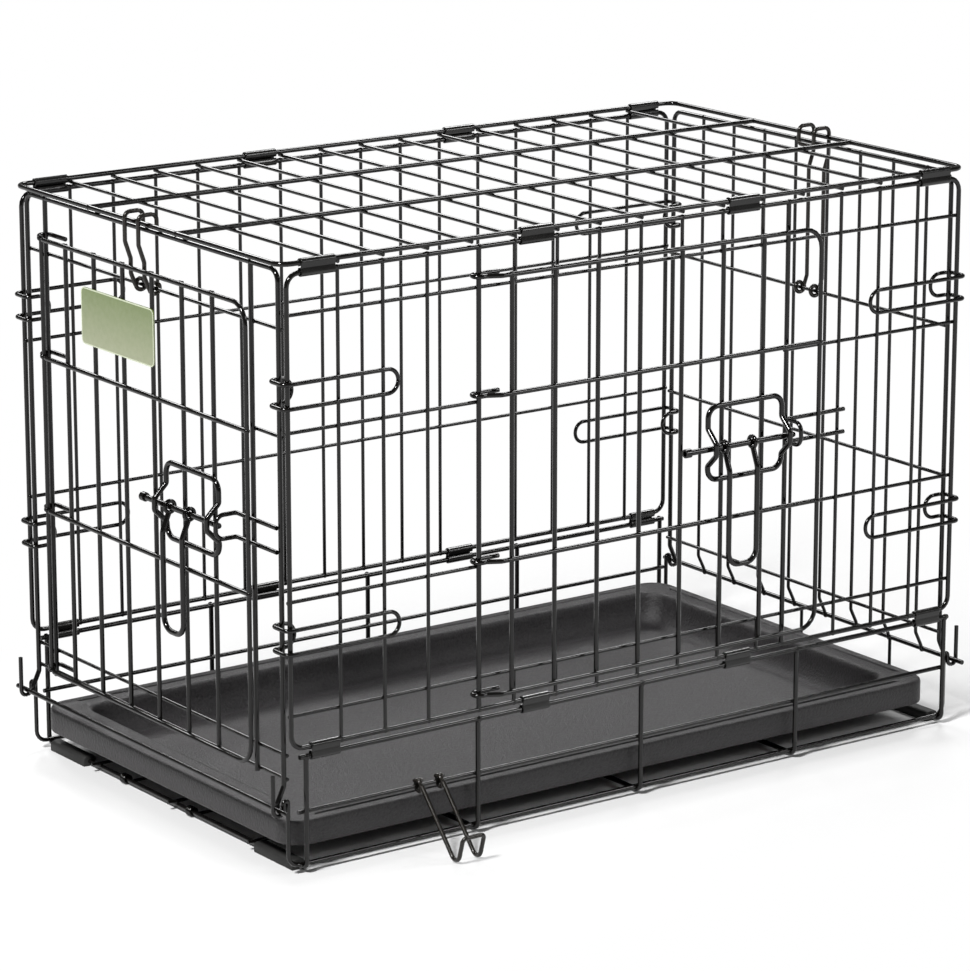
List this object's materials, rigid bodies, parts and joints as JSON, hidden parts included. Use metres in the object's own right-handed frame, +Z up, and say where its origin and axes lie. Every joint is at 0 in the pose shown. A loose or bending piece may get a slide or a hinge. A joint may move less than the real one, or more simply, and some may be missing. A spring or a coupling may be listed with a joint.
{
  "type": "wire dog crate",
  "caption": "Folding wire dog crate with a front door, an end door, slide bolt latches, a slide-out plastic pan, folding ends, corner hooks, spring clips and sheet hinge clips.",
  "frame": {"origin": "centre of the whole crate's outline, on the floor", "axes": "+X along the crate from the end with the door to the plain end, +Y from the front side with the door to the back side, +Z up"},
  "size_m": [0.5962, 0.3876, 0.4121],
  "materials": {
    "black_enamelled_wire": "black electro-coated steel wire, satin gloss",
    "clip_sheet": "dark thin sheet steel, formed round the wires",
    "spring_wire": "dark spring steel wire",
    "pan_plastic": "dark grey-black moulded plastic, fine matt texture",
    "foot_plastic": "black moulded plastic sleeves",
    "green_tag": "plain green printed card, no lettering"
  },
  "bodies": {
    "crate": {"base_frame": "black_enamelled_wire", "front_side_panel": "black_enamelled_wire", "back_side_panel": "black_enamelled_wire", "top_panel": "black_enamelled_wire", "front_keeper": "black_enamelled_wire", "foot_front_left": "foot_plastic", "foot_front_right": "foot_plastic", "foot_back_left": "foot_plastic", "foot_back_right": "foot_plastic", "hinge_clip_top_front_1": "clip_sheet", "hinge_clip_top_front_2": "clip_sheet", "hinge_clip_top_front_3": "clip_sheet", "hinge_clip_top_front_4": "clip_sheet", "hinge_clip_top_back_1": "clip_sheet", "hinge_clip_top_back_2": "clip_sheet", "hinge_clip_top_back_3": "clip_sheet", "hinge_clip_top_back_4": "clip_sheet", "hinge_clip_base_front_1": "clip_sheet", "hinge_clip_base_front_2": "clip_sheet", "hinge_clip_base_front_3": "clip_sheet", "hinge_clip_base_front_4": "clip_sheet", "hinge_clip_base_back_1": "clip_sheet", "hinge_clip_base_back_2": "clip_sheet", "hinge_clip_base_back_3": "clip_sheet", "hinge_clip_base_back_4": "clip_sheet", "corner_hook_front_left_upper": "black_enamelled_wire", "corner_hook_front_left_lower": "black_enamelled_wire", "corner_hook_front_right_upper": "black_enamelled_wire", "corner_hook_front_right_lower": "black_enamelled_wire", "corner_hook_back_left_upper": "black_enamelled_wire", "corner_hook_back_left_lower": "black_enamelled_wire", "corner_hook_back_right_upper": "black_enamelled_wire", "corner_hook_back_right_lower": "black_enamelled_wire"},
    "pan": {"pan": "pan_plastic"},
    "left_end": {"left_end_panel": "black_enamelled_wire", "left_keeper": "black_enamelled_wire", "left_top_clip": "spring_wire"},
    "right_end": {"right_end_panel": "black_enamelled_wire", "right_top_clip": "spring_wire"},
    "front_door": {"front_door": "black_enamelled_wire", "front_latch_guide": "black_enamelled_wire"},
    "left_door": {"left_door": "black_enamelled_wire", "left_latch_guide": "black_enamelled_wire", "label_tag": "green_tag"},
    "front_bolt": {"front_bolt": "black_enamelled_wire"},
    "left_bolt": {"left_bolt": "black_enamelled_wire"},
    "front_handle": {"front_handle": "black_enamelled_wire"},
    "left_handle": {"left_handle": "black_enamelled_wire"},
    "transport_clip": {"transport_clip": "spring_wire"}
  },
  "joints": [
    {"name": "pan_slide", "type": "slide", "parent": "crate", "child": "pan", "axis": [-1, 0, 0], "range_m": [0, 0.54]},
    {"name": "left_end_fold", "type": "hinge", "parent": "crate", "child": "left_end", "pos_m": [-0.28326, 0.02081, 0.046], "axis": [0, -1, 0], "range_deg": [-83, 0], "deforming": ["left_top_clip"]},
    {"name": "right_end_fold", "type": "hinge", "parent": "crate", "child": "right_end", "pos_m": [0.29274, 0.02081, 0.046], "axis": [0, 1, 0], "range_deg": [-90, 0], "deforming": ["right_top_clip"]},
    {"name": "front_door_swing", "type": "hinge", "parent": "crate", "child": "front_door", "pos_m": [-0.12676, -0.14419, 0.238], "axis": [0, 0, -1], "range_deg": [0, 155]},
    {"name": "left_door_swing", "type": "hinge", "parent": "left_end", "child": "left_door", "pos_m": [-0.27536, 0.15281, 0.221], "axis": [0, 0, -1], "range_deg": [0, 115]},
    {"name": "front_bolt_slide", "type": "slide", "parent": "front_door", "child": "front_bolt", "axis": [1, 0, 0], "range_m": [0, 0.015]},
    {"name": "left_bolt_slide", "type": "slide", "parent": "left_door", "child": "left_bolt", "axis": [0, -1, 0], "range_m": [0, 0.015]},
    {"name": "front_handle_lift", "type": "hinge", "parent": "front_bolt", "child": "front_handle", "pos_m": [0.07824, -0.15929, 0.24], "axis": [-1, 0, 0], "range_deg": [0, 120]},
    {"name": "left_handle_lift", "type": "hinge", "parent": "left_bolt", "child": "left_handle", "pos_m": [-0.29046, -0.03819, 0.225], "axis": [0, 1, 0], "range_deg": [0, 120]},
    {"name": "transport_clip_swing", "type": "hinge", "parent": "crate", "child": "transport_clip", "pos_m": [-0.16526, -0.14163, 0.042], "axis": [-1, 0, 0], "range_deg": [0, 95]}
  ]
}
